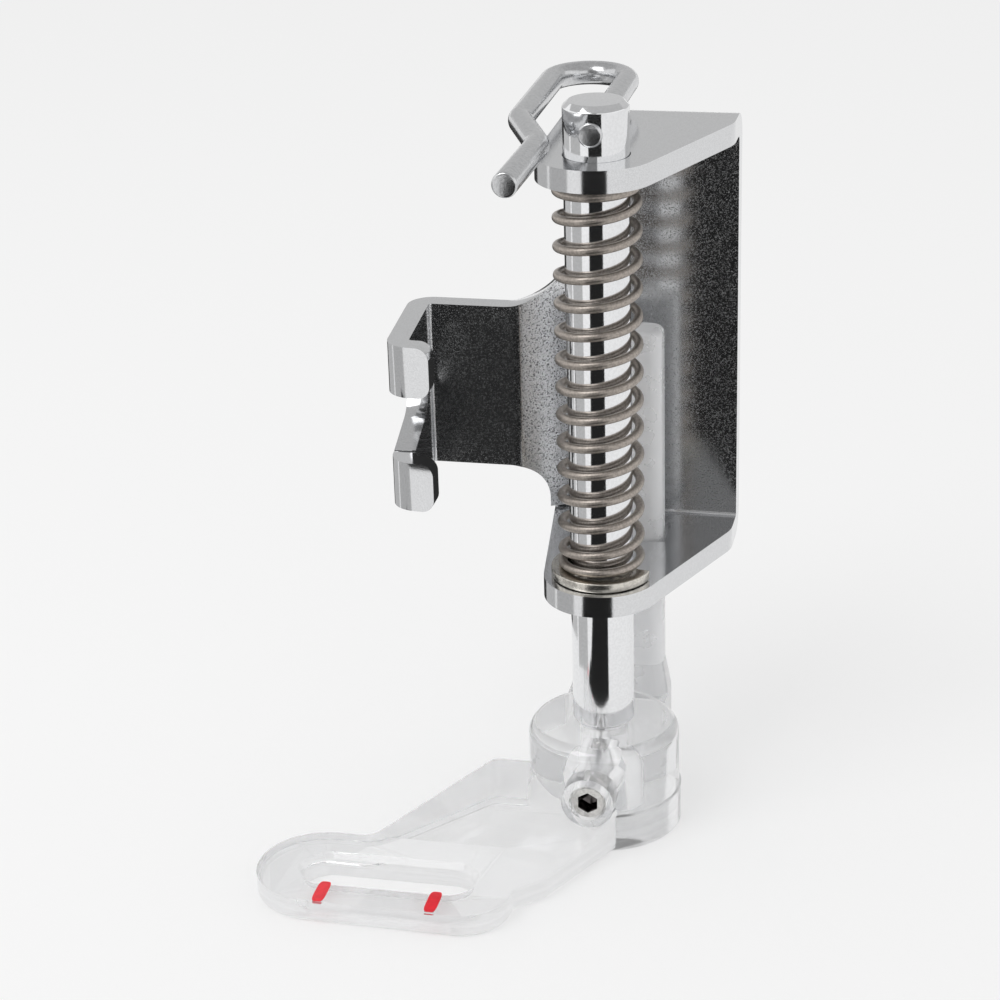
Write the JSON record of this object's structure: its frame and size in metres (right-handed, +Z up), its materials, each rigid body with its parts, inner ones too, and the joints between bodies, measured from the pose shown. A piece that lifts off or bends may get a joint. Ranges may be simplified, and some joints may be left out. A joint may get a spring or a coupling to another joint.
{
  "type": "sewing machine presser foot",
  "caption": "Spring-loaded free-motion presser foot: a folded steel bracket with a fork, a sprung plunger rod with a lifting wire, and a clear moulded foot with an oval needle opening.",
  "frame": {"origin": "on the sole, below the plunger rod's axis", "axes": "+Z up along the plunger rod, +Y from the sewer towards the bracket's plate, -X towards the fork that hooks round the presser bar"},
  "size_m": [0.0272, 0.0302, 0.0481],
  "materials": {
    "nickel_sheet": "plated, a little grainy",
    "chrome_rod": "polished",
    "chrome_wire": "plated",
    "spring_steel": "satin",
    "ring_steel": "satin",
    "clear_plastic": "clear, glossy",
    "dark_steel": "satin",
    "red_paint": "glossy"
  },
  "bodies": {
    "bracket": {"bracket": "nickel_sheet", "spring": "spring_steel"},
    "plunger": {"plunger_rod": "chrome_rod", "lift_wire": "chrome_wire", "retaining_ring": "ring_steel", "clear_foot": "clear_plastic", "set_screw": "dark_steel", "guide_marks": "red_paint"}
  },
  "joints": [
    {"name": "plunger_lift", "type": "slide", "parent": "bracket", "child": "plunger", "axis": [0, 0, 1], "range_m": [0, 0.0075], "stiffness_N_per_m": 300, "springref_m": -0.0035, "deforming": ["spring"]}
  ]
}
